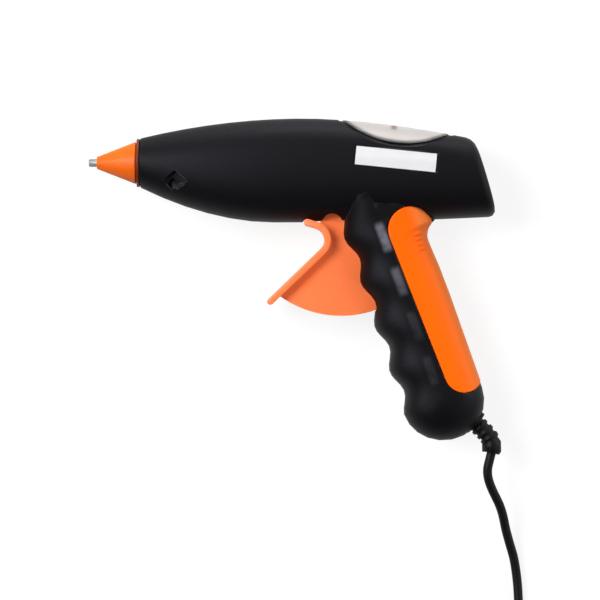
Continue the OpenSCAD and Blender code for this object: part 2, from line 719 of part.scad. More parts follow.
module cheek_outline() {
    polygon(concat(
        circle_points(pivot, hub_r, 100, 10, 8),
        circle_points(pivot, trigger_r, edge_arc[0], edge_arc[1], 16),
        [for (i = [len(plate_line) - 2:-1:1]) plate_line[i]]));
}

// Outline of one arm with the open slot round the side pin
module arm_outline() {
    slot = side_pin_d + 2 * fork_gap;
    translate(pivot) rotate(-rest_lean) difference() {
        translate([-slot / 2 - 2, 6]) square([slot + 4, arm_r - 6]);
        translate([-slot / 2, pivot_drop - side_pin_d / 2 - 1.5]) square([slot, 20]);
    }
}

module trigger() color("#ff7a3c") difference() {
    union() {
        translate([0, 0, -plate_w / 2]) linear_extrude(plate_w) polygon(band(plate_line, plate_t));
        for (z = [cheek_w / 2 - cheek_t, -cheek_w / 2])
            translate([0, 0, z]) linear_extrude(cheek_t) cheek_outline();
        translate(concat(pivot, 0)) cylinder(r = hub_r, h = cheek_w, center = true);
        for (z = [arm_in, -arm_in - arm_t]) translate([0, 0, z]) linear_extrude(arm_t) arm_outline();
        // Necks of the cheeks, and shoulders that carry the arms out past the carriage
        for (z = [cheek_w / 2 - cheek_t, -cheek_w / 2]) translate(concat(pivot, z)) rotate(-rest_lean)
            translate([-4, 2, 0]) cube([8, shoulder_r - 2, cheek_t]);
        for (z = [cheek_w / 2 - cheek_t, -arm_in - arm_t]) translate(concat(pivot, z)) rotate(-rest_lean)
            translate([-4, shoulder_r - 4.4, 0]) cube([8, 4.4, arm_in + arm_t - cheek_w / 2 + cheek_t]);
    }
    translate(concat(pivot, 0)) cylinder(r = pivot_d / 2 + run_gap, h = 40, center = true);
}

module pivot_pin() color("#c4c6c8") translate(concat(pivot, 0))
    cylinder(d = pivot_d, h = cheek_w + 7.6, center = true);

// Return spring between the carriage's lug and the housing's post
spring_turns = 9;
spring_r = 2.4;
wire_r = 0.45;
module return_spring() color("#c4c6c8") {
    x0 = lug_x + 0.1;
    x1 = spring_post_x - post_r - 0.1;
    lead = 4;
    run = x1 - x0 - 2 * lead;
    helix = [for (i = [0:8 * spring_turns]) let (a = 45 * i)
        [x0 + lead + run * i / (8 * spring_turns), spring_y + spring_r * cos(a), spring_r * sin(a)]];
    skin(tube_rings(concat(
        [[x0, spring_y, 0], [x0 + 1.5, spring_y, 0]], helix, [[x1 - 1.5, spring_y, 0], [x1, spring_y, 0]]),
        wire_r, 6));
}

// Tube at the rear that takes the stick, cut flush with the slanted face
module rear_guide() color("#2a2a2d") difference() {
    union() {
        along_x(guide_x) cylinder(r = guide_bore / 2 + 1.8, h = 30);
        along_x(guide_x + 2.6) cylinder(r = guide_bore / 2 + 3.4, h = 2.2);
    }
    along_x(guide_x - 1) cylinder(d = guide_bore, h = 40);
    translate([barrel_l - 0.2, 0, 0]) rotate(rear_slant) translate([0, -30, -30]) cube([60, 60, 60]);
}

module pilot_lamp() color("#e9b9a0") translate([lamp_x, lamp_foot, 0]) rotate([-90, 0, 0]) {
    cylinder(d = lamp_d, h = lamp_l);
    translate([0, 0, lamp_l]) sphere(d = lamp_d);
}

// Terminals in the handle, where the cord's wires meet the leads
block_u = 21;
block_v = -1.5;
block_size = [12, 13, 16];
block = handle_point(block_u, block_v);
module terminal_block() color("#e3ded2") translate(concat(block, 0)) rotate(handle_tilt)
    translate(-block_size / 2) cube(block_size);

// Leads from the terminals to the heater, one on each side
wire_d = 1.8;
block_top = handle_point(block_u + block_size.y / 2 + 0.1, block_v);
wire_route = concat([concat(block_top, 4), concat(block_top + 3 * [-sin(handle_tilt), cos(handle_tilt)], 4)],
    [[141, -80, 9], [135, -56, 9.5], [125, -36, 9.5],
    [113, -17, 11.9], [100, -14, 12.5], [75, -14, 11.5], [60, -13, 5], [54, -12.8, 3]],
    [[heater_x + heater_l + 0.1, pocket_y - heater_t / 2, 3]]);
module lead_wires() color("#b03a2e") for (side = [1, -1])
    skin(tube_rings(led_path([for (p = wire_route) [p.x, p.y, side * p.z]], 3), wire_d / 2, 6));

// Cord inside the foot, from the boot to the terminals
function on_boot(s) = boot_start + s * [cos(boot_heading), sin(boot_heading)];
block_low = block_u - block_size.y / 2;
inner_route = [concat(on_boot(-4.1), 0), concat(on_boot(-7), 0), [158.5, -121.5, 0], [154.5, -116, 0],
    concat(handle_point(block_low - 4, block_v), 0), concat(handle_point(block_low - 0.1, block_v), 0)];
module inner_cord() color("#151517") skin(tube_rings(led_path(inner_route, 4), cord_d / 2, 8));

// Bridge over the inner cord, screwed to two posts of the right half
clamp_at = [156.5, -118.75];
clamp_turn = 126;
clamp_reach = 5.4;
clamp_t = 3;
clamp_w = 5.6;
clamp_posts = [for (side = [-1, 1]) clamp_at + side * clamp_reach * [-sin(clamp_turn), cos(clamp_turn)]];
clamp_screw_d = 2.4;
module cord_clamp() color("#2a2a2d") difference() {
    translate(concat(clamp_at, 0.1)) rotate(clamp_turn) translate([-clamp_w / 2, -clamp_reach - 2.8, 0])
        cube([clamp_w, 2 * clamp_reach + 5.6, cord_d / 2 + clamp_t]);
    translate(concat(clamp_at, 0)) rotate(clamp_turn) translate([-10, -cord_d / 2 - 0.3, -1])
        cube([20, cord_d + 0.6, cord_d / 2 + 1.1]);
    for (p = clamp_posts) translate(concat(p, -1)) cylinder(r = clamp_screw_d / 2 + run_gap, h = 20);
}

module clamp_screws() color("#8f9295") for (p = clamp_posts) translate(concat(p, 0)) {
    translate([0, 0, -7]) cylinder(d = clamp_screw_d, h = 7.2 + cord_d / 2 + clamp_t);
    translate([0, 0, 0.15 + cord_d / 2 + clamp_t]) cylinder(d = clamp_screw_d + 2, h = 1.6);
}

// Screws go in from the right
head_h = 2.15;
cross_w = 1;
module case_screws() color("#8f9295") for (p = screws)
    translate(concat(p, -head_seat - run_gap)) difference() {
        union() {
            cylinder(d = screw_d, h = 2 * head_seat);
            translate([0, 0, -head_h]) cylinder(d = head_d, h = head_h);
        }
        // Cross recess for the driver
        for (turn = [0, 90]) rotate(turn)
            translate([-head_d / 3, -cross_w / 2, -head_h - 1])
                cube([head_d * 2 / 3, cross_w, 1 + head_h / 2]);
    }

// Boot: inner flange, neck, outer flange, ribs and cuff on a line that bends downwards
boot_l = 19.2;
boot_turn = 62;
// The bend tightens towards the cuff's straight end, and is added up in short steps
bend_l = boot_l - 1.5;
boot_step = boot_l / 24;
function boot_angle(s) = boot_heading - boot_turn * pow(min(s / bend_l, 1), 3);
function boot_point(s) = s <= 0 ? concat(on_boot(s), 0)
    : let (d = min(s, boot_step), a = boot_angle(s - d / 2)) boot_point(s - d) + d * [cos(a), sin(a), 0];
rib_pitch = (boot_l - 8.5) / rib_count;
boot_profile = concat(
    [[-boot_wall - 1.4, boot_lip_r], [-boot_wall, boot_lip_r], [0.1 - boot_wall, cord_d / 2 + 1.7],
        [0, cord_d / 2 + 1.7],
        [0.1, flange_d / 2], [1.6, flange_d / 2], [2.2, rib_d / 2 - 0.9]],
    [for (i = [0:rib_count - 1]) let (s = 2.8 + i * rib_pitch) each [[s, rib_d / 2 - 0.9],
        [s + 0.5, rib_d / 2], [s + rib_pitch - 1.5, rib_d / 2], [s + rib_pitch - 1, rib_d / 2 - 0.9]]],
    [[boot_l - 5.6, rib_d / 2], [boot_l - 0.6, rib_d / 2], [boot_l, rib_d / 2 - 0.8]]);
module cord_boot() color("#151517")
    skin(tube_rings([for (p = boot_profile) boot_point(p[0])], [for (p = boot_profile) p[1]], 14));

// Cord from the boot to the coil, in points chosen by hand; the table is half a housing below
table_z = -half_w;
cord_heading = boot_heading - boot_turn;
function past_boot(s) = boot_point(boot_l) + s * [cos(cord_heading), sin(cord_heading), 0];
cord_route = concat([past_boot(0.1), past_boot(4)], [[173.9, -152.5, -0.2], [173.9, -156, -0.7],
    [174.8, -159.8, -1.7], [176.3, -163.5, -3.1], [178.2, -167.4, -4.9], [180.1, -171.3, -6.8],
    [181.6, -175.4, -8.9], [182.7, -179.6, -10.8], [183.8, -184.5, -12.6], [185.8, -191.5, -14.7],
    [188.2, -200, -16.4], [189.9, -212, -17.3], [190.5, -225, -17.2], [190.5, -240, -17.1],
    [190.5, -249, -17.1], [190.5, -257, -17.1]]);
cord_path = led_path(cord_route, 2);
module cord() color("#151517") skin(tube_rings(cord_path, cord_d / 2, 8));

// Stored cord: a flat spiral inwards, a climb of one layer, and a spiral out again
coil_pitch = 5.2;
layer_rise = 5.1;
coil_in = cord_route[len(cord_route) - 1] - [0, cord_d, 0];
coil_r = 36.6;
coil_mid = coil_in - [coil_r, 0, 0];
loop_rings = 24;
coil_steps = loop_rings * (2 * coil_turns) + loop_rings / 4;
function coil_radius(t) = t < coil_turns ? coil_r - coil_pitch * t
    : coil_r - coil_pitch * (2 * coil_turns - t);
function coil_lift(t) = layer_rise * smooth((t - coil_turns + 0.25) * 2);
function coil_at(t) = coil_mid + coil_radius(t) * [cos(360 * t), -sin(360 * t), 0] + [0, 0, coil_lift(t)];
coil_path = concat([coil_in + [0, cord_d - 0.05, 0]], [for (i = [0:coil_steps]) coil_at(i / loop_rings)],
    [coil_at(coil_steps / loop_rings) - [cord_d, 0, 0]]);
module cord_coil() color("#151517") skin(tube_rings(coil_path, cord_d / 2, 6));

// Least gap between turns, and the whole length of the cord
coil_gap = min([for (i = [0:len(coil_path) - 2], j = [i + loop_rings / 2:len(coil_path) - 1])
    norm(coil_path[i] - coil_path[j])]) - cord_d;
echo(coil_gap = coil_gap);

// Loose end from the coil to the plug
coil_out = coil_path[len(coil_path) - 1] - [0.05, 0, 0];
plug_at = [115, coil_out.y, table_z + plug_t / 2];
tail_path = led_path([coil_out, coil_out - [5, 0, 0], plug_at + [5.05, 0, 0], plug_at + [0.05, 0, 0]], 4);
echo(cord_length = path_length(cord_path) + path_length(coil_path) + path_length(tail_path));
module cord_tail() color("#151517") skin(tube_rings(tail_path, cord_d / 2, 8));

// Strap round the coil
tie_t = 0.5;
tie_gap = 0.1;
tie_w = 4;
module cord_tie() color("#2a2a2d") {
    w = coil_pitch * (coil_turns - 1) + cord_d + 8 * tie_gap;
    h = layer_rise + cord_d + 2 * tie_gap;
    mid_r = coil_r - coil_pitch * coil_turns / 2;
    translate([coil_mid.x - mid_r, coil_mid.y + tie_w / 2, coil_mid.z + layer_rise / 2]) rotate([90, 0, 0])
        linear_extrude(tie_w) difference() {
            square([w + 2 * tie_t, h + 2 * tie_t], center = true);
            square([w, h], center = true);
        }
}

// Flat two-pin plug
module plug_body() color("#151517") translate(plug_at) rotate(180) intersection() {
    translate([0, 0, -plug_t / 2]) linear_extrude(plug_t) polygon([
        [0, -cord_d], [plug_l * 0.3, -cord_d - 1], [plug_l * 0.62, -plug_w / 2], [plug_l, -plug_w / 2],
        [plug_l, plug_w / 2], [plug_l * 0.62, plug_w / 2], [plug_l * 0.3, cord_d + 1], [0, cord_d]]);
    rotate([90, 0, 0]) translate([0, 0, -plug_w]) linear_extrude(2 * plug_w) polygon([
        [0, -cord_d], [plug_l * 0.45, -plug_t / 2], [plug_l, -plug_t / 2],
        [plug_l, plug_t / 2], [plug_l * 0.45, plug_t / 2], [0, cord_d]]);
}

pin_l = 19;
pin_d = 4;
module plug_pins() color("#d8d4c8") for (y = [-1, 1])
    translate(plug_at + [-plug_l - 0.05, y * pin_pitch / 2, 0]) rotate([0, -90, 0]) {
        cylinder(d = pin_d, h = pin_l - pin_d / 2);
        translate([0, 0, pin_l - pin_d / 2]) sphere(d = pin_d);
    }

module placed() translate([-origin_x, -origin_y, half_w]) children();

placed() housing_left();
placed() housing_right();
placed() grip_insert();
placed() window();
placed() nozzle();
placed() nozzle_sleeve();
placed() melt_chamber();
placed() heater();
placed() heater_clip();
placed() front_spacer();
placed() rear_spacer();
placed() stick_sleeve();
placed() sleeve_clip();
placed() feed_carriage();
placed() grip_claw();
placed() claw_pin();
placed() trigger();
placed() pivot_pin();
placed() return_spring();
placed() rear_guide();
placed() pilot_lamp();
placed() lead_wires();
placed() terminal_block();
placed() inner_cord();
placed() cord_clamp();
placed() clamp_screws();
placed() case_screws();
placed() cord_boot();
placed() cord();
placed() cord_coil();
placed() cord_tail();
placed() cord_tie();
placed() plug_body();
placed() plug_pins();
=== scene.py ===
# %% [markdown]
# # Dressing a hot glue gun
# The solids of the gun come in as a frame that is never moved. This lesson copies the pieces that show,
# softens their edges, winds the cord, and gives each piece the finish that its real material has. Copying
# keeps every piece the size that it was drawn at, which modelling it again by eye would not.

# %% Load the frame
from math import cos, exp, pi, radians, sin, sqrt

import bpy
from mathutils import Matrix, Vector


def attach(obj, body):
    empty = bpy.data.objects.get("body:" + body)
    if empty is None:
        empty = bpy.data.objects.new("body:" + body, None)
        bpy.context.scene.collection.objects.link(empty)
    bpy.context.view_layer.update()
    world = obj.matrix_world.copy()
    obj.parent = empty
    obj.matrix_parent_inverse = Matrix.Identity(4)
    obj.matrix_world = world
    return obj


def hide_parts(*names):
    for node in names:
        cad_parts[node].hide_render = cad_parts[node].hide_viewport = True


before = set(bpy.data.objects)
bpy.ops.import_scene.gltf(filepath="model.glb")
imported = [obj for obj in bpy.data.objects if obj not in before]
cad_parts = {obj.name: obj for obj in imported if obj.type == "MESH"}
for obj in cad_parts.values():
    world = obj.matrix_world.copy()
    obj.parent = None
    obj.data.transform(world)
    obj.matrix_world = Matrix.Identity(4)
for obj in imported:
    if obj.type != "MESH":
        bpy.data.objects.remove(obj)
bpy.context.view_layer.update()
scene = bpy.context.scene
scene.view_settings.view_transform = "Standard"
MM = 0.001
print("frame of", len(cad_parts), "solids")

# %% [markdown]
# ## One set of measures
# The gun was drawn from its nose, along the glue stick, with the parting plane at height zero. The frame's
# origin is on the table, below the middle of the gun. One small function goes from the first to the second.
# The handle has a line of its own, which runs up from the middle of its foot, with the fingers in front of
# it. Lengths on the gun are in millimetres until they go to Blender, which works in metres.

# %% Measures
GUN_ORIGIN = Vector((-75.9139, 58.175, 20.0))


def at(x, y, z=0.0):
    """A point of the frame, in metres, from millimetres measured from the nose."""
    return (Vector((x, y, z)) + GUN_ORIGIN) * MM


def ramp(t):
    """Rise smoothly from zero to one while t does so evenly."""
    t = min(max(t, 0), 1)
    return t * t * (3 - 2 * t)


# The handle leans forwards, and UP and FORWARDS are its own two directions
TILT, FOOT = radians(19.5), Vector((151, -119, 0))
UP = Vector((-sin(TILT), cos(TILT), 0))
FORWARDS = Vector((-cos(TILT), -sin(TILT), 0))
# Four finger ridges end at a crease, and behind it the back swells into a web under the barrel
RIDGE_PITCH, CREASE = 23.3, -1.5
print("nose at", tuple(round(v, 4) for v in at(0, 0)))

# %% [markdown]
# ## Camera
# The picture looks straight at the left side of the gun with almost no perspective. An orthographic camera
# would have none at all, so this one stands far above the table behind a long lens instead. The lens follows
# from the width that the picture takes in.

# %% Camera
VIEW_WIDTH, VIEW_DISTANCE, SENSOR = 0.300, 1.6, 36.0
VIEW_CENTRE = at(80, -68.5)
bpy.ops.object.camera_add(location=VIEW_CENTRE + Vector((0, 0, VIEW_DISTANCE)), rotation=(0, 0, 0))
camera = bpy.context.object
camera.name = "square_on_camera"
camera.data.sensor_width = SENSOR
camera.data.lens = SENSOR * VIEW_DISTANCE / VIEW_WIDTH
scene.camera = camera
print("lens", round(camera.data.lens), "mm")

# %% [markdown]
# ## Helpers for working by hand
# An operator acts on whatever is selected, so each step first picks its own piece. A finished piece has its
# place in its mesh and its object at the origin, as the solids have.

# %% Helpers for pieces


def pick(piece):
    """Make one piece the only selected one, and the active one."""
    bpy.ops.object.select_all(action="DESELECT")
    piece.select_set(True)
    bpy.context.view_layer.objects.active = piece


def use(piece, kind, **settings):
    """Add a modifier with its settings and apply it."""
    pick(piece)
    bpy.ops.object.modifier_add(type=kind)
    modifier = piece.modifiers[-1]
    for name, value in settings.items():
        setattr(modifier, name, value)
    bpy.ops.object.modifier_apply(modifier=modifier.name)


def smooth(piece, angle=35):
    """Shade a piece smooth, apart from the edges that turn more than the angle."""
    pick(piece)
    bpy.ops.object.shade_smooth_by_angle(angle=radians(angle))


def copy_solid(node, name, body="housing", flat=None):
    """A welded copy of a solid, which stands for it; flat joins triangles that lie in one plane."""
    piece = bpy.data.objects.new(name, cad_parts[node].data.copy())
    scene.collection.objects.link(piece)
    piece.data.materials.clear()
    pick(piece)
    bpy.ops.object.mode_set(mode="EDIT")
    bpy.ops.mesh.select_all(action="SELECT")
    bpy.ops.mesh.remove_doubles(threshold=0.004 * MM)
    if flat:
        bpy.ops.mesh.dissolve_limited(angle_limit=radians(flat))
    bpy.ops.object.mode_set(mode="OBJECT")
    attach(piece, body)
    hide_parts(node)
    return piece


# %% [markdown]
# ## Cord
# A mains cord of about one and a half metres leaves the boot, falls to the table in one lazy bend, and is
# wound out of sight into a flat coil of two layers with its plug beside it. Its route is the one that its
# solids follow, with more points to a turn, so that the bends are round. A simulated rope would settle
# somewhere else, so the route is drawn, and a curve with a round section keeps its length exact.

# %% Route of the cord
CORD_D = 4.6
BOOT_END = Vector((175.688, -144.901, 0))
BOOT_DOWN = Vector((cos(radians(-104)), sin(radians(-104)), 0))
CORD_POINTS = [BOOT_END + 0.1 * BOOT_DOWN, BOOT_END + 4 * BOOT_DOWN] + [Vector(p) for p in (
    (173.9, -152.5, -0.2), (173.9, -156, -0.7), (174.8, -159.8, -1.7), (176.3, -163.5, -3.1),
    (178.2, -167.4, -4.9), (180.1, -171.3, -6.8), (181.6, -175.4, -8.9), (182.7, -179.6, -10.8),
    (183.8, -184.5, -12.6), (185.8, -191.5, -14.7), (188.2, -200, -16.4), (189.9, -212, -17.3),
    (190.5, -225, -17.2), (190.5, -240, -17.1), (190.5, -249, -17.1), (190.5, -257, -17.1))]
COIL_R, COIL_PITCH, COIL_TURNS, LAYER_RISE = 36.6, 5.2, 4, 5.1
TURN_POINTS, STEPS = 48, 6
TABLE_Z, PLUG_X, PLUG_T, PLUG_LEAD = -20.0, 115.0, 13.7, 5.0


def eased(points, steps):
    """Points on a smooth line through the given ones."""
    line = []
    last = len(points) - 1
    for i in range(last):
        a, b, c, d = points[max(i - 1, 0)], points[i], points[i + 1], points[min(i + 2, last)]
        for k in range(steps):
            t = k / steps
            line.append(0.5 * (2 * b + (c - a) * t + (2 * a - 5 * b + 4 * c - d) * t ** 2
                               + (3 * b - a - 3 * c + d) * t ** 3))
    return line + [points[last]]


coil_in = CORD_POINTS[-1] - Vector((0, CORD_D, 0))
coil_mid = coil_in - Vector((COIL_R, 0, 0))


def on_coil(t):
    """A point of the coil after t turns: in along the lower layer and out along the upper one."""
    radius = COIL_R - COIL_PITCH * (t if t < COIL_TURNS else 2 * COIL_TURNS - t)
    lift = LAYER_RISE * ramp((t - COIL_TURNS + 0.25) * 2)
    return coil_mid + Vector((radius * cos(2 * pi * t), -radius * sin(2 * pi * t), lift))


coil_line = [on_coil(i / TURN_POINTS) for i in range(TURN_POINTS * 2 * COIL_TURNS + TURN_POINTS // 4 + 1)]
coil_out = coil_line[-1] - Vector((CORD_D, 0, 0))
plug_at = Vector((PLUG_X, coil_out.y, TABLE_Z + PLUG_T / 2))
lead = Vector((PLUG_LEAD, 0, 0))
tail_line = eased([coil_out, coil_out - lead, plug_at + lead, plug_at + 0.05 * lead], STEPS)
cord_line = [CORD_POINTS[0]] + eased(CORD_POINTS[1:-1], STEPS) + [CORD_POINTS[-1]] + coil_line + tail_line
cord_line = [at(*p) for p in cord_line]

# %% Cord as a curve with a round section
cord_curve = bpy.data.curves.new("mains_cord", "CURVE")
cord_curve.dimensions = "3D"
spline = cord_curve.splines.new("POLY")
spline.points.add(len(cord_line) - 1)
for point, place in zip(spline.points, cord_line):
    point.co = (*place, 1.0)
    point.radius = CORD_D / 2 * MM
# The radius is kept on the points, because the box of a curve counts the radius of its points alone
cord_curve.bevel_depth = 1.0
cord_curve.bevel_resolution = 5
cord_curve.use_fill_caps = True
spline.use_smooth = True
cord = bpy.data.objects.new("mains_cord", cord_curve)
scene.collection.objects.link(cord)
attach(cord, "housing")
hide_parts("cord", "cord_coil", "cord_tail")
print("cord curve with", len(spline.points), "points")

# %% [markdown]
# ## Colours and nodes
# Colours are written as they look on a screen, and one function turns them to the linear values that the
# shader needs. One more adds a node with its settings and its links. Patterns are measured in millimetres.

# %% Helpers for finishes


def colour(code):
    """Linear colour from an sRGB hex value."""
    parts = [int(code[i:i + 2], 16) / 255 for i in (1, 3, 5)]
    return [c / 12.92 if c <= 0.04045 else ((c + 0.055) / 1.055) ** 2.4 for c in parts] + [1.0]


def per_mm(size):
    """Scale of a pattern whose features are this many millimetres apart."""
    return 1.0 / (size * MM)


def add(tree, kind, settings=None, links=None):
    """Add a node; settings name its sockets or its options, and links feed its sockets."""
    node = tree.nodes.new(kind)
    for name, value in (settings or {}).items():
        if isinstance(name, int) or name in node.inputs:
            node.inputs[name].default_value = value
        else:
            setattr(node, name, value)
    for name, source in (links or {}).items():
        tree.links.new(source, node.inputs[name])
    return node


def new_finish(name, **sockets):
    """An empty material with its tree, its shader and the place that patterns read."""
    material = bpy.data.materials.new(name)
    material.use_nodes = True
    tree = material.node_tree
    shader = tree.nodes["Principled BSDF"]
    for socket, value in sockets.items():
        shader.inputs[socket.replace("_", " ")].default_value = value
    place = add(tree, "ShaderNodeTexCoord").outputs["Object"]
    return material, tree, shader, place


def wear(finish, base, worn, patch_mm, rough, grain_mm, depth_mm, strength):
    """Mottle a finish: two near colours in patches, a range of roughness, and a fine grain in relief."""
    material, tree, shader, place = finish
    patches = add(tree, "ShaderNodeTexNoise", {"Scale": per_mm(patch_mm), "Detail": 3.0}, {"Vector": place})
    tint = add(tree, "ShaderNodeMix", {"data_type": "RGBA", 6: colour(base), 7: colour(worn)},
               {0: patches.outputs["Fac"]})
    tree.links.new(tint.outputs[2], shader.inputs["Base Color"])
    grain = add(tree, "ShaderNodeTexNoise", {"Scale": per_mm(grain_mm), "Detail": 2.0}, {"Vector": place})
    gloss = add(tree, "ShaderNodeMapRange", {"To Min": rough[0], "To Max": rough[1]},
                {"Value": grain.outputs["Fac"]})
    tree.links.new(gloss.outputs["Result"], shader.inputs["Roughness"])
    relief = add(tree, "ShaderNodeBump", {"Strength": strength, "Distance": depth_mm * MM},
                 {"Height": grain.outputs["Fac"]})
    tree.links.new(relief.outputs["Normal"], shader.inputs["Normal"])
    return material


print("mid grey is", round(colour("#808080")[0], 3), "in linear light")

# %% [markdown]
# ## Plastics and rubbers
# The housing is ABS moulded in a spark-eroded tool, so it is near black with a satin grain. The grip insert
# is a thermoplastic elastomer, matte and a little soft to the light. The nose cone is silicone rubber, the
# trigger is polypropylene that lets a little light in, and the window is milky polycarbonate. One flat colour
# would look like a toy, so each is mottled in two near colours with a grain in its gloss and its relief.

# %% Plastics
# Real spark-eroded grain is about 0.1 mm, which is too fine to show, so it is drawn at 0.5 mm
black_finish = new_finish("abs_spark_eroded_black", IOR=1.53, Specular_IOR_Level=0.16,
                          Specular_Tint=colour("#eceaff"))
black_abs = wear(black_finish, "#020202", "#050505", 25, (0.5, 0.62), 0.5, 0.03, 0.2)
# A soft elastomer scatters light under its skin and has a matte bloom
grip_finish = new_finish("elastomer_moulded_orange", IOR=1.5, Subsurface_Weight=0.05,
                         Subsurface_Scale=0.001, Specular_IOR_Level=0.08)
grip_elastomer = wear(grip_finish, "#ff5f00", "#ff6702", 20, (0.46, 0.6), 0.6, 0.04, 0.25)
# Silicone is matte and slightly cloudy
cone_finish = new_finish("silicone_rubber_orange", IOR=1.43, Subsurface_Weight=0.45, Subsurface_Scale=0.003,
                         Specular_IOR_Level=0.3)
cone_silicone = wear(cone_finish, "#ea6404", "#f06c0a", 8, (0.42, 0.55), 0.6, 0.03, 0.2)
# Polypropylene is satin and lets light a millimetre in, and a faint painted glow stands for light from the
# table that comes through its thin cheeks
trigger_pp = wear(new_finish("polypropylene_moulded_orange", IOR=1.49, Subsurface_Weight=0.5,
                             Subsurface_Scale=0.003, Emission_Color=colour("#ff7f46"),
                             Emission_Strength=0.16),
                  "#f67a42", "#fc7f46", 15, (0.36, 0.5), 0.6, 0.03, 0.2)
# Milky polycarbonate is smooth outside and scatters light inside, and a painted glow stands for the daylight
# that comes through it
window_finish = new_finish("polycarbonate_milky_clear", IOR=1.58, Subsurface_Weight=0.3,
                           Subsurface_Scale=0.002, Alpha=0.9, Specular_IOR_Level=0.15, Coat_Weight=0.05,
                           Coat_Roughness=0.2, Emission_Strength=1.1)
window_pc = wear(window_finish, "#87827f", "#8f8b89", 12, (0.3, 0.42), 1.5, 0.02, 0.1)
# Laminated paper is white and smooth, with a faint tooth
label_paper = wear(new_finish("paper_label_laminated", IOR=1.5, Coat_Weight=0.2, Coat_Roughness=0.2),
                   "#cccccf", "#d4d4d6", 10, (0.3, 0.42), 0.4, 0.01, 0.15)
# Plasticised vinyl on a cord is black, matte and slightly dusty
cord_vinyl = wear(new_finish("vinyl_cord_black", IOR=1.5, Specular_IOR_Level=0.16),
                  "#060607", "#0d0d0e", 6, (0.45, 0.6), 0.5, 0.03, 0.3)
# Heat-proof phenolic and glass-filled plastics of the inner pieces
phenolic = wear(new_finish("phenolic_moulded_cream", IOR=1.55),
                "#cfc7b3", "#dcd5c4", 4, (0.5, 0.65), 0.4, 0.03, 0.25)
glass_nylon = wear(new_finish("nylon_glass_filled_grey", IOR=1.53),
                   "#34373b", "#41454a", 4, (0.4, 0.55), 0.4, 0.03, 0.3)
sleeve_silicone = wear(new_finish("silicone_rubber_red", IOR=1.43),
                       "#b83f28", "#c74c33", 6, (0.42, 0.55), 0.6, 0.03, 0.2)
print("plastics made")

# %% [markdown]
# Fingers rub the grain smooth where they curl round the ridges, and the crease of the handle catches the
# light in one strip to a ridge. That strip is smoother and has a painted grey highlight. A painted mask would
# need a picture, so the strips are found by sums in the handle's own measures: one runs up from its foot, and
# one forwards.

# %% Painted shine along the crease
_, abs_tree, abs_shader, abs_place = black_finish
STRIP_AT, STRIP_MID, STRIP_OUT, STRIP_IN = 86.8, 0.75, 3.2, 0.8
GRASP_FROM, GRASP_TO, HELD_MID, HELD_HALF = 45, 85, 52, 45
EASED = {"interpolation_type": "SMOOTHSTEP"}
from_foot = add(abs_tree, "ShaderNodeVectorMath", {"operation": "SUBTRACT", 1: at(*FOOT)}, {0: abs_place})
up = add(abs_tree, "ShaderNodeVectorMath", {"operation": "DOT_PRODUCT", 1: UP}, {0: from_foot.outputs[0]})
forwards = add(abs_tree, "ShaderNodeVectorMath", {"operation": "DOT_PRODUCT", 1: FORWARDS},
               {0: from_foot.outputs[0]})
off_strip = add(abs_tree, "ShaderNodeMath", {"operation": "SUBTRACT", 1: STRIP_MID * MM},
                {0: forwards.outputs["Value"]})
off_strip = add(abs_tree, "ShaderNodeMath", {"operation": "ABSOLUTE"}, {0: off_strip.outputs[0]})
strip = add(abs_tree, "ShaderNodeMapRange", {**EASED, "From Min": STRIP_OUT * MM, "From Max": STRIP_IN * MM},
            {"Value": off_strip.outputs[0]})
turn = add(abs_tree, "ShaderNodeMath", {"operation": "MULTIPLY_ADD", 1: 2 * pi / (RIDGE_PITCH * MM),
                                        2: -2 * pi * STRIP_AT / RIDGE_PITCH}, {0: up.outputs["Value"]})
wave = add(abs_tree, "ShaderNodeMath", {"operation": "COSINE"}, {0: turn.outputs[0]})
ridge = add(abs_tree, "ShaderNodeMapRange", {**EASED, "From Min": -0.75, "From Max": 0.15},
            {"Value": wave.outputs[0]})
# The upper fingers squeeze hardest, so the painted shine is strongest there
grasp = add(abs_tree, "ShaderNodeMapRange",
            {"From Min": GRASP_FROM * MM, "From Max": GRASP_TO * MM, "To Min": 0.12},
            {"Value": up.outputs["Value"]})
# No finger reaches the foot or the barrel, so the painted shine stops short of both
held = add(abs_tree, "ShaderNodeMath", {"operation": "COMPARE", 1: HELD_MID * MM, 2: HELD_HALF * MM},
           {0: up.outputs["Value"]})
blotch = add(abs_tree, "ShaderNodeTexNoise", {"Scale": per_mm(5), "Detail": 3.0}, {"Vector": abs_place})
uneven = add(abs_tree, "ShaderNodeMapRange", {"From Min": 0.3, "From Max": 0.6, "To Min": 0.45},
             {"Value": blotch.outputs["Fac"]})
wear_and_painted_shine = strip.outputs["Result"]
for share in (uneven.outputs["Result"], ridge.outputs["Result"], grasp.outputs["Result"], held.outputs[0]):
    wear_and_painted_shine = add(abs_tree, "ShaderNodeMath", {"operation": "MULTIPLY"}, {0: wear_and_painted_shine, 1: share}).outputs[0]
print("one strip every", RIDGE_PITCH, "mm")

# %% [markdown]
# Moulded edges are never knife-sharp, and they rub pale first. The light sees them rounded by half a
# millimetre, and where that rounding turns the skin the plastic counts as rubbed and also gets a painted
# highlight.

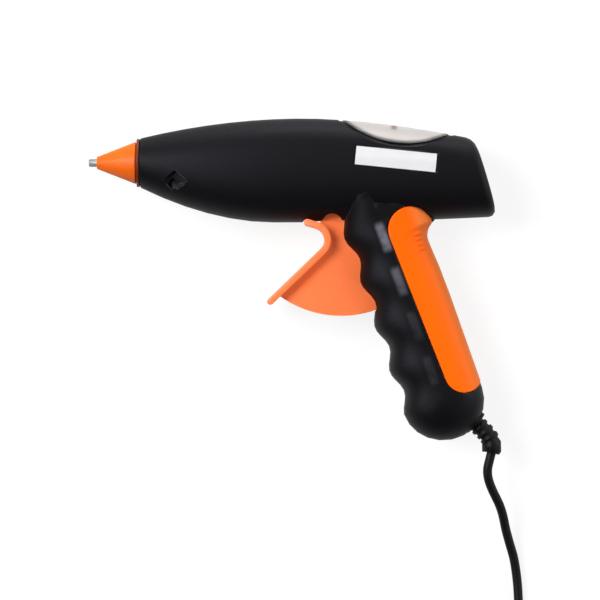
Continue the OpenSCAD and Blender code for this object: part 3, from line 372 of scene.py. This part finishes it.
# %% Worn edges with a painted highlight
EDGE_R, EDGE_WEAR_AND_SHINE = 0.5, 0.6
rounded = add(abs_tree, "ShaderNodeBevel", {"samples": 6, "Radius": EDGE_R * MM})
relief = abs_shader.inputs["Normal"].links[0].from_node
abs_tree.links.new(rounded.outputs[0], relief.inputs["Normal"])
skin = add(abs_tree, "ShaderNodeNewGeometry")
alike = add(abs_tree, "ShaderNodeVectorMath", {"operation": "DOT_PRODUCT"},
            {0: rounded.outputs[0], 1: skin.outputs["Normal"]})
edge_wear_and_shine = add(abs_tree, "ShaderNodeMapRange", {**EASED, "From Min": 0.99, "From Max": 0.9, "To Max": EDGE_WEAR_AND_SHINE},
           {"Value": alike.outputs["Value"]})
wear_and_painted_shine = add(abs_tree, "ShaderNodeMath", {"operation": "MAXIMUM"},
             {0: wear_and_painted_shine, 1: edge_wear_and_shine.outputs["Result"]}).outputs[0]
print("edges rounded by", EDGE_R, "mm")

# %% [markdown]
# Rubbing lays the grain flat, so a rubbed place is smoother. It also catches more light, which is painted in
# as a grey highlight. Both follow the same share, so that the shine ends where the grey does.

# %% Rubbed plastic is smoother, with a painted grey highlight
RUBBED_ROUGHNESS = 0.32
grain = abs_shader.inputs["Roughness"].links[0].from_socket
satin = add(abs_tree, "ShaderNodeMix", {3: RUBBED_ROUGHNESS}, {0: wear_and_painted_shine, 2: grain})
abs_tree.links.new(satin.outputs[0], abs_shader.inputs["Roughness"])
black = abs_shader.inputs["Base Color"].links[0].from_socket
# Painted highlight: the black turns grey where the plastic is rubbed
grey = add(abs_tree, "ShaderNodeMix", {"data_type": "RGBA", 7: colour("#686872")}, {0: wear_and_painted_shine, 6: black})
abs_tree.links.new(grey.outputs[2], abs_shader.inputs["Base Color"])
print("black plastic has", len(abs_tree.nodes), "nodes")

# %% [markdown]
# The back of the soft insert turns a pale tan, more and more towards the middle of its back: partly dust from
# the palm, and partly a painted highlight where the back curves away. The handle's own measures find that
# place too.

# %% Dusty back of the insert with a painted highlight
_, grip_tree, grip_shader, grip_place = grip_finish
PALM_FROM, PALM_TO, PALM_SHARE = 13, 21, 0.5
arm = add(grip_tree, "ShaderNodeVectorMath", {"operation": "SUBTRACT", 1: at(*FOOT)}, {0: grip_place})
back = add(grip_tree, "ShaderNodeVectorMath", {"operation": "DOT_PRODUCT", 1: -FORWARDS}, {0: arm.outputs[0]})
palm = add(grip_tree, "ShaderNodeMapRange",
           {**EASED, "From Min": PALM_FROM * MM, "From Max": PALM_TO * MM, "To Max": PALM_SHARE},
           {"Value": back.outputs["Value"]})
orange = grip_shader.inputs["Base Color"].links[0].from_socket
# Pale tan: partly dust, partly a painted highlight where the back curves away
palm_dust_and_highlight = add(grip_tree, "ShaderNodeMix", {"data_type": "RGBA", 7: colour("#d88a48")},
             {0: palm.outputs["Result"], 6: orange})
grip_tree.links.new(palm_dust_and_highlight.outputs[2], grip_shader.inputs["Base Color"])
print("palm rubs from", PALM_FROM, "mm behind the middle")

# %% [markdown]
# The flange of the nose cone touches the hot chamber and sits in the shade of the housing's front rim, and
# that shade is painted on as a dark brown. It is one moulding with the cone, so one finish changes over along
# the axis.

# %% Flange in painted shade
_, cone_tree, cone_shader, cone_place = cone_finish
CONE_END, FLANGE = -2.1, -1.5
cone_axis = add(cone_tree, "ShaderNodeSeparateXYZ", links={"Vector": cone_place})
painted_shade = add(cone_tree, "ShaderNodeMapRange", {"From Min": at(CONE_END, 0).x, "From Max": at(FLANGE, 0).x},
              {"Value": cone_axis.outputs["X"]})
orange = cone_shader.inputs["Base Color"].links[0].from_socket
# Painted shade: the flange is darkened to brown where the housing's rim shades it
flange = add(cone_tree, "ShaderNodeMix", {"data_type": "RGBA", 7: colour("#6b2a0a")},
             {0: painted_shade.outputs["Result"], 6: orange})
cone_tree.links.new(flange.outputs[2], cone_shader.inputs["Base Color"])
print("flange browned from", FLANGE, "mm")

# %% [markdown]
# The window lies on a ledge of black plastic, which darkens its edge to a grey band, and the pilot lamp casts
# a soft grey spot on its middle. Real glass would need many bounces of light to show them, so both are
# painted shade.
# Both are circles seen from the side, so both come from the distance to a line across the gun. The rest of
# the pane has a painted glow, which stands for the daylight that comes through it.

# %% What shows through the window
_, pane_tree, pane_shader, pane_place = window_finish
WINDOW_R, LEDGE, LEDGE_FULL = 46.5, 1.9, 0.5
# Each has its axis, the two distances between which it fades in, and its colour
SHOWN = [
    (at(132.8, 55.6), (WINDOW_R - LEDGE, WINDOW_R - LEDGE_FULL), "#3a3838"),
    (at(126.8, 17.6), (2.3, 0.7), "#565250"),
]
for axis, (start, end), tint in SHOWN:
    arm = add(pane_tree, "ShaderNodeVectorMath", {"operation": "SUBTRACT", 1: axis}, {0: pane_place})
    flat = add(pane_tree, "ShaderNodeVectorMath", {"operation": "MULTIPLY", 1: (1, 1, 0)},
               {0: arm.outputs[0]})
    reach = add(pane_tree, "ShaderNodeVectorMath", {"operation": "LENGTH"}, {0: flat.outputs[0]})
    share = add(pane_tree, "ShaderNodeMapRange", {"From Min": start * MM, "From Max": end * MM},
                {"Value": reach.outputs["Value"]})
    milk = pane_shader.inputs["Base Color"].links[0].from_socket
    seen = add(pane_tree, "ShaderNodeMix", {"data_type": "RGBA", 7: colour(tint)},
               {0: share.outputs["Result"], 6: milk})
    pane_tree.links.new(seen.outputs[2], pane_shader.inputs["Base Color"])
    pane_tree.links.new(seen.outputs[2], pane_shader.inputs["Emission Color"])
print("window shows", len(SHOWN), "things behind it")

# %% [markdown]
# ## Metals and ceramics
# The nozzle is turned aluminium, dulled by heat, the melt chamber is cast, and the springs, pins and screws
# are plated steel. A metal keeps the shader's own refraction and gets its look from its colour and its
# roughness.

# %% Metals
nozzle_metal = wear(new_finish("aluminium_turned", Metallic=0.8),
                    "#9a9895", "#a8a6a2", 2, (0.5, 0.62), 0.5, 0.02, 0.2)
cast_metal = wear(new_finish("aluminium_die_cast", Metallic=1.0),
                  "#9c9d9f", "#aeb0b2", 6, (0.4, 0.6), 0.8, 0.08, 0.4)
plated_steel = wear(new_finish("steel_zinc_plated", Metallic=1.0),
                    "#9fa2a4", "#b7babc", 2, (0.25, 0.4), 0.4, 0.02, 0.2)
spring_steel = wear(new_finish("steel_spring_wire", Metallic=1.0),
                    "#b4b6b8", "#c6c8ca", 3, (0.2, 0.32), 0.4, 0.02, 0.15)
heater_ceramic = wear(new_finish("ceramic_heater_brown", IOR=1.6),
                      "#80502f", "#95613f", 3, (0.6, 0.8), 0.4, 0.05, 0.4)
lamp_glass = wear(new_finish("glass_neon_lamp", IOR=1.5, Transmission_Weight=0.3),
                  "#c99a80", "#dcae95", 4, (0.1, 0.2), 0.8, 0.01, 0.1)
wire_sleeving = wear(new_finish("glass_fibre_sleeving_red", IOR=1.5),
                     "#9d3026", "#b64034", 2, (0.55, 0.7), 0.5, 0.05, 0.4)
print(len(bpy.data.materials), "materials so far")

# %% [markdown]
# The plug's pins are nickel-plated, and the half next to the body is sleeved in black plastic, so that no
# finger can touch live metal. Both are one piece, so one finish changes over along the pin.

# %% Pins of the plug
pin_finish = new_finish("nickel_pin_half_sleeved")
pin_nickel = wear(pin_finish, "#c9c5b8", "#dad7cd", 2, (0.22, 0.34), 0.4, 0.02, 0.15)
_, pin_tree, pin_shader, pin_place = pin_finish
SLEEVE_END = at(70.5, 0).x
pin_axis = add(pin_tree, "ShaderNodeSeparateXYZ", links={"Vector": pin_place})
sleeved = add(pin_tree, "ShaderNodeMath", {"operation": "GREATER_THAN", 1: SLEEVE_END},
              {0: pin_axis.outputs["X"]})
bare = add(pin_tree, "ShaderNodeMath", {"operation": "SUBTRACT", 0: 1.0}, {1: sleeved.outputs[0]})
nickel = pin_shader.inputs["Base Color"].links[0].from_socket
pin_colour = add(pin_tree, "ShaderNodeMix", {"data_type": "RGBA", 7: colour("#0e0e0f")},
                 {0: sleeved.outputs[0], 6: nickel})
pin_tree.links.new(pin_colour.outputs[2], pin_shader.inputs["Base Color"])
pin_tree.links.new(bare.outputs[0], pin_shader.inputs["Metallic"])
print("pins sleeved to", round(SLEEVE_END, 4))

# %% [markdown]
# ## Housing
# The two halves are thin moulded shells. They could be drawn again as smooth surfaces, but their solids hold
# every rim, boss and recess, so a welded copy is enough: it is shaded smooth over the skin and sharp at the
# rims, with the shading weighted by face size, so that the small faces round a cut pull it about less.

# %% Housing halves
housing = []
for side in ("left", "right"):
    half = copy_solid("housing_" + side, "shell_" + side)
    smooth(half, 22)
    use(half, "WEIGHTED_NORMAL", keep_sharp=True, weight=80)
    half.data.materials.append(black_abs)
    housing.append(half)
    print(half.name, len(half.data.polygons), "faces")

# %% [markdown]
# A cut leaves long thin faces round its rim, and their corners pull the shading about. Finer faces would only
# move that elsewhere. The skin follows plain formulas, so each corner on it takes the direction that its
# formula gives. A formula gives one on the skin, less inside it and more outside it, so the skin faces the
# way in which the formula grows.

# %% Formulas of the skin


def swell(start, end, share, power):
    """Grow from start to end, fast at first and then level."""
    return start + (end - start) * (1 - (1 - max(share, 0)) ** power)


# Barrel: its top and its belly start at the nose's radius and are highest and lowest at these places
NOSE_R, CREST_X, CREST_Y, BELLY_X, BELLY_Y = 12.25, 82.0, 22.25, 66.0, -29.75
# From there its top falls and its belly rises by so much over these lengths
CREST_FALL, CREST_L, BELLY_RISE, BELLY_L = 10.2, 84.931, 2.5, 104.5
# It is widest from here on, and tapers a little at its rear, where its sections lean
WIDEST_X, HALF_W, TAPER_X, TAPER, TAPER_L = 75.0, 20.0, 120.0, 1.5, 50.5
LEAN, LEAN_X, LEAN_L = 0.2962, 85.0, 77.1


def top_y(x):
    """Height of the barrel's top."""
    if x < CREST_X:
        return swell(NOSE_R, CREST_Y, x / CREST_X, 2)
    return CREST_Y - CREST_FALL * ((x - CREST_X) / CREST_L) ** 1.7


def belly_y(x):
    """Height of the barrel's belly."""
    if x < BELLY_X:
        return swell(-NOSE_R, BELLY_Y, x / BELLY_X, 1.87)
    return BELLY_RISE * ((x - BELLY_X) / BELLY_L) ** 2 + BELLY_Y


def half_width(x):
    """Half of the barrel's width."""
    if x < WIDEST_X:
        return swell(NOSE_R, HALF_W, x / WIDEST_X, 2)
    return HALF_W - TAPER * (max(x - TAPER_X, 0) / TAPER_L) ** 2


def barrel(point):
    """One on the skin of the barrel, which turns from round at the nose to squarish."""
    x, y, z = point
    s = x
    for _ in range(4):
        lean = LEAN * ramp((s - LEAN_X) / LEAN_L)
        s = x + lean * y
    high = top_y(s - lean * top_y(s))
    low = belly_y(s - lean * belly_y(s))
    power = 2 + 0.4 * min(max(s, 0) / 60, 1)
    return abs((2 * y - high - low) / (high - low)) ** power + abs(z / half_width(s)) ** power


# Handle: how far its front, its back and its sides stand from its line, and how high its ridges are
FRONT, BACK, BACK_W, RIDGE_H, SQUARISH = 18.3, 21.2, 17.0, 1.9, 2.4
# Heights of the first ridge and of the web, and the radii of the web and of the round foot
FIRST_RIDGE, WEB_U, WEB_R, FOOT_R = 22.5, 78.0, 8.5, 20.0
# Each ramp below adds its share from the height that it takes off, over the length that it divides by


def handle(point):
    """One on the skin of the handle: a ridged front, a smooth back and a round foot."""
    arm = point - FOOT
    u, v = arm.dot(UP), arm.dot(FORWARDS)
    round_off = sqrt(max(1 - (min(u, 0) / FOOT_R) ** 2, 0.001))
    u = max(u, 0)
    turn = 2 * pi * (u - FIRST_RIDGE) / RIDGE_PITCH
    half = BACK_W + exp(-u * u / 324) - 1.5 * ramp((u - 98) / 14)
    if v > CREASE:
        reach = FRONT - 0.017 * min(u, 45) + 0.4 * ramp((u - 70) / 30) + RIDGE_H * cos(turn) - CREASE
        half += 1.5 * ramp(u / 25) * (0.75 - 0.25 * sin(turn)) + 2 * ramp((u - 90) / 22)
    else:
        web = min(max(u - WEB_U, 0), 0.98 * WEB_R)
        reach = CREASE + BACK - 1.2 * ramp((u - 55) / 25) + WEB_R - sqrt(WEB_R ** 2 - web ** 2)
    across = abs((v - CREASE) / (reach * round_off))
    return across ** SQUARISH + abs(point.z / (half * round_off)) ** SQUARISH


print("barrel is", HALF_W * 2, "mm wide, handle", BACK_W * 2)

# %% The way that the skin faces
STEP, CREASE_W, RIBS_START = 0.02, 2.4, 73.5


def facing(form, point, reach):
    """The direction in which the skin of a form faces, or none where the point is off the skin."""
    growth = Vector([form(point + d) - form(point - d) for d in STEP * Matrix.Identity(3)]) / (2 * STEP)
    if growth.length < 0.001 or abs(form(point) - 1) > reach * growth.length:
        return None
    forward = (point - FOOT).dot(FORWARDS) - CREASE
    on_crease = 0 <= forward < CREASE_W
    on_ribs = forward < 0 and (point - FOOT).dot(UP) > RIBS_START
    if form is handle and (on_crease or on_ribs):
        return None
    return growth.normalized()


crest = facing(barrel, Vector((CREST_X, CREST_Y, 0)), 0.4)
print("top of the barrel faces", tuple(round(v, 2) for v in crest))

# %% [markdown]
# Where a face lies along a formula, its corners take the formula's direction. Where it turns away, as inside
# a recess, they keep their own. Between the two they are blended, so that no line shows.

# %% Shading of the skin
ALIKE, SAME = cos(radians(32)), cos(radians(24))


def shade_from(piece, forms, reach):
    """Turn the shading of a piece to that of its formulas, where its faces lie along them."""
    mesh = piece.data
    corners = [normal.vector.copy() for normal in mesh.corner_normals]
    known = {}
    for face in mesh.polygons:
        for corner, index in zip(face.loop_indices, face.vertices):
            if index not in known:
                point = mesh.vertices[index].co / MM - GUN_ORIGIN
                sides = [facing(form, point, reach) for form in forms]
                known[index] = [side for side in sides if side]
            best = max(known[index], key=face.normal.dot, default=None)
            if best:
                share = ramp((best.dot(face.normal) - ALIKE) / (SAME - ALIKE))
                corners[corner] = corners[corner].lerp(best, share).normalized()
    mesh.normals_split_custom_set(corners)
    print(piece.name, "shaded from", len(known), "points")


for half in housing:
    shade_from(half, (barrel, handle), reach=0.4)

# %% [markdown]
# ## Grip insert
# The soft insert wraps the back of the handle in a shallow recess. Rubber has no sharp edges. A bevel can't
# follow its uneven rim, so the copy is remeshed finely and relaxed, which rounds the rim as a mould would.

# %% Grip insert
insert = copy_solid("grip_insert", "grip_saddle")
use(insert, "REMESH", mode="VOXEL", voxel_size=0.45 * MM)
use(insert, "SMOOTH", factor=0.5, iterations=9)
print(insert.name, len(insert.data.vertices), "points after rounding")

# %% [markdown]
# Rounding wipes out the fine grip ribs below the web, so they are raised again. Each rib is a smooth wave
# along the handle's line. It lifts the skin straight out, and it fades away at both ends.

# %% Grip ribs below the web
RIBS, FIRST_RIB, RIB_PITCH, RIB_H = 4, 75.0, 2.6, 0.45
RIB_FROM, RIB_TO, RIB_END = 13.4, 17.9, 0.9
for vertex, way in [(vertex, vertex.normal.copy()) for vertex in insert.data.vertices]:
    arm = vertex.co / MM - GUN_ORIGIN - FOOT
    step = (arm.dot(UP) - FIRST_RIB) / RIB_PITCH
    back = -arm.dot(FORWARDS)
    outwards = arm - arm.dot(UP) * UP
    if -0.5 < step < RIBS - 0.5 and RIB_FROM < back < RIB_TO and way.dot(outwards) > 0:
        ends = ramp((back - RIB_FROM) / RIB_END) * ramp((RIB_TO - back) / RIB_END)
        vertex.co += RIB_H * ends * max(cos(2 * pi * step), 0) * MM * way
pick(insert)
bpy.ops.object.shade_smooth()
shade_from(insert, (handle,), reach=0.9)
insert.data.materials.append(grip_elastomer)
print(insert.name, len(insert.data.polygons), "faces")

# %% [markdown]
# ## Window, guide and nose
# These are turned or moulded pieces. The cone and the tip could be spun from a profile, but their solids are
# true turned shapes already, so welding and smoothing them is all they need. A narrow bevel on the edges that
# the light catches comes first.

# %% Window, guide and nose
window = copy_solid("window", "window_pane")
smooth(window, 40)
window.data.materials.append(window_pc)

guide = copy_solid("rear_guide", "stick_guide", flat=1)
use(guide, "BEVEL", width=0.3 * MM, segments=2, limit_method="ANGLE", angle_limit=radians(50))
smooth(guide)
guide.data.materials.append(black_abs)

cone = copy_solid("nozzle_sleeve", "nose_cone", flat=0.5)
use(cone, "BEVEL", width=0.2 * MM, segments=2, limit_method="ANGLE", angle_limit=radians(40))
smooth(cone, 40)
cone.data.materials.append(cone_silicone)

tip = copy_solid("nozzle", "metal_tip", flat=0.5)
smooth(tip, 30)
tip.data.materials.append(nozzle_metal)
print("nose pieces", cone.name, tip.name)

# %% [markdown]
# ## Trigger
# The trigger is one moulding: a finger plate with a rolled lip, two thin cheeks and a hub. Its solid is made
# of triangles, and a bevel would follow each of them, so its flat faces are joined first. Then one bevel
# rounds every edge by the same amount.

# %% Trigger
trigger = copy_solid("trigger", "squeeze_trigger", "trigger", flat=1)
use(trigger, "BEVEL", width=0.35 * MM, segments=2, limit_method="ANGLE", angle_limit=radians(40))
smooth(trigger, 40)
trigger.data.materials.append(trigger_pp)
print(trigger.name, len(trigger.data.polygons), "faces")

# %% [markdown]
# ## Label
# A blank label lies in the shallow recess beside the window. Painting it on the housing would give it no
# edge. So a flat card of its size is laid over the barrel and pressed down on to it, which gives it the
# barrel's curve, and then it gets its thickness.

# %% Label
LABEL_L, LABEL_H, LABEL_T, LABEL_TURN = 40.0, 9.2, 0.12, -5.7
LABEL_X, LABEL_Y, LABEL_DROP = 127.4, 1.2, 30.0
bpy.ops.object.select_all(action="DESELECT")
bpy.ops.mesh.primitive_grid_add(x_subdivisions=40, y_subdivisions=10, size=1,
                                location=at(LABEL_X, LABEL_Y, LABEL_DROP),
                                rotation=(0, 0, radians(LABEL_TURN)))
label = bpy.context.object
label.name = "blank_label"
label.scale = (LABEL_L * MM, LABEL_H * MM, 1)
bpy.ops.object.transform_apply(location=True, rotation=True, scale=True)
use(label, "SHRINKWRAP", target=housing[0], wrap_method="PROJECT", use_project_x=False, use_project_y=False,
    use_project_z=True, use_negative_direction=True, use_positive_direction=False, offset=0.06 * MM)
use(label, "SOLIDIFY", thickness=LABEL_T * MM, offset=1.0)
smooth(label)
label.data.materials.append(label_paper)
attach(label, "housing")
print("label", tuple(round(v, 4) for v in label.dimensions))

# %% [markdown]
# ## Boot, plug and tie
# The boot is a ribbed rubber sleeve that bends with the cord. The plug is a flat moulded body with two round
# pins, and a strap holds the coil together. All have solids of the right form, so each is a copy. The plug is
# made for the hand, so its edges are rounded most.

# %% Boot, plug and tie
boot = copy_solid("cord_boot", "ribbed_boot")
smooth(boot, 50)
boot.data.materials.append(cord_vinyl)

plug = copy_solid("plug_body", "plug_shell", flat=1)
use(plug, "BEVEL", width=2.2 * MM, segments=4, limit_method="ANGLE", angle_limit=radians(20))
smooth(plug, 40)
plug.data.materials.append(cord_vinyl)

pins = copy_solid("plug_pins", "plug_contacts")
smooth(pins)
pins.data.materials.append(pin_nickel)

tie = copy_solid("cord_tie", "coil_strap", flat=1)
use(tie, "BEVEL", width=0.2 * MM, segments=2, limit_method="ANGLE", angle_limit=radians(40))
smooth(tie)
tie.data.materials.append(glass_nylon)

cord_curve.materials.append(cord_vinyl)
print("plug", tuple(round(v, 4) for v in plug.dimensions))

# %% [markdown]
# ## Inner pieces
# What lies inside shows only through the window, the slot and the rear bore. Copies with finer edges would
# hardly be seen, so these solids stay as they are and take their finishes.

# %% Finishes of the inner pieces
inner_finishes = {
    "melt_chamber": cast_metal, "heater": heater_ceramic, "heater_clip": spring_steel,
    "front_spacer": phenolic, "rear_spacer": phenolic, "stick_sleeve": sleeve_silicone,
    "sleeve_clip": spring_steel, "feed_carriage": glass_nylon, "grip_claw": plated_steel,
    "claw_pin": spring_steel, "pivot_pin": spring_steel, "return_spring": spring_steel,
    "pilot_lamp": lamp_glass, "lead_wires": wire_sleeving, "terminal_block": phenolic,
    "inner_cord": cord_vinyl, "cord_clamp": glass_nylon, "clamp_screws": plated_steel,
    "case_screws": plated_steel,
}
for node, material in inner_finishes.items():
    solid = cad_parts[node]
    solid.data.materials.clear()
    solid.data.materials.append(material)
print(len(inner_finishes), "inner pieces finished")

# %% [markdown]
# ## Table
# The gun lies on a plain white table, which keeps a faint shadow. Most of its white is light of its own, for
# the camera and for what the gun mirrors, so that no lamp has to be turned up to make the table white.

# %% Table
TABLE_GLOW, TABLE_W, TABLE_GAP = 0.86, 12, 0.0002
bpy.ops.mesh.primitive_plane_add(size=TABLE_W, location=(0, 0, -TABLE_GAP))
table = bpy.context.object
table.name = "white_table"
table_white = bpy.data.materials.new("matte_white_table")
table_white.use_nodes = True
tree = table_white.node_tree
tree.nodes.remove(tree.nodes["Principled BSDF"])
ray = add(tree, "ShaderNodeLightPath")
seen = ray.outputs["Is Camera Ray"]
for kind in ("Is Glossy Ray", "Is Transmission Ray"):
    seen = add(tree, "ShaderNodeMath", {"operation": "MAXIMUM"}, {0: seen, 1: ray.outputs[kind]}).outputs[0]
glow = add(tree, "ShaderNodeMath", {"operation": "MULTIPLY", 1: TABLE_GLOW}, {0: seen})
matte = add(tree, "ShaderNodeBsdfDiffuse", {"Color": colour("#6c6c6c")})
light = add(tree, "ShaderNodeEmission", {"Color": colour("#ffffff")}, {"Strength": glow.outputs[0]})
both = add(tree, "ShaderNodeAddShader", links={0: matte.outputs[0], 1: light.outputs[0]})
tree.links.new(both.outputs[0], tree.nodes["Material Output"].inputs["Surface"])
table.data.materials.append(table_white)
print("table glows with", TABLE_GLOW)

# %% [markdown]
# ## Light
# A soft world light is brighter low down than above, so black plastic stays black where it faces the camera.
# One lamp would leave the rear flat, and many would make the plastic grey. So the key lamp stands on the
# nose's side, a low one runs along the barrel's top, and two weaker ones behind the gun shape the handle.

# %% World
world = bpy.data.worlds.new("light_tent")
scene.world = world
world.use_nodes = True
sky = world.node_tree
around = add(sky, "ShaderNodeTexCoord")
height = add(sky, "ShaderNodeSeparateXYZ", links={"Vector": around.outputs["Generated"]})
dim = add(sky, "ShaderNodeMapRange", {"From Min": 0.15, "From Max": 0.95, "To Min": 0.14, "To Max": 0.02},
          {"Value": height.outputs["Z"]})
sky.links.new(dim.outputs["Result"], sky.nodes["Background"].inputs["Strength"])
sky.nodes["Background"].inputs["Color"].default_value = colour("#fbfcff")
print("world", world.name)

# %% Lamps
AIM = Vector((0.02, 0.0, 0.02))
# Each has its place and its size in metres, and its power in watts
LAMPS = {
    "key_at_nose": ((-1.95, 0.75, 2.5), 1.6, 132.0),
    "rim_above_barrel": ((0.1, 1.8, 0.12), 0.7, 28.0),
    "fill_below_handle": ((1.9, -0.9, 1.5), 1.2, 10.0),
    "strip_behind_grip": ((1.9, 0.7, 0.8), 1.2, 26.0),
}
for name, (place, size, power) in LAMPS.items():
    bpy.ops.object.light_add(type="AREA", location=place)
    lamp = bpy.context.object
    lamp.name = name
    lamp.data.shape = "SQUARE"
    lamp.data.size = size
    lamp.data.energy = power
    lamp.rotation_euler = (AIM - Vector(place)).to_track_quat("-Z", "Y").to_euler()
print(len(LAMPS), "lamps")
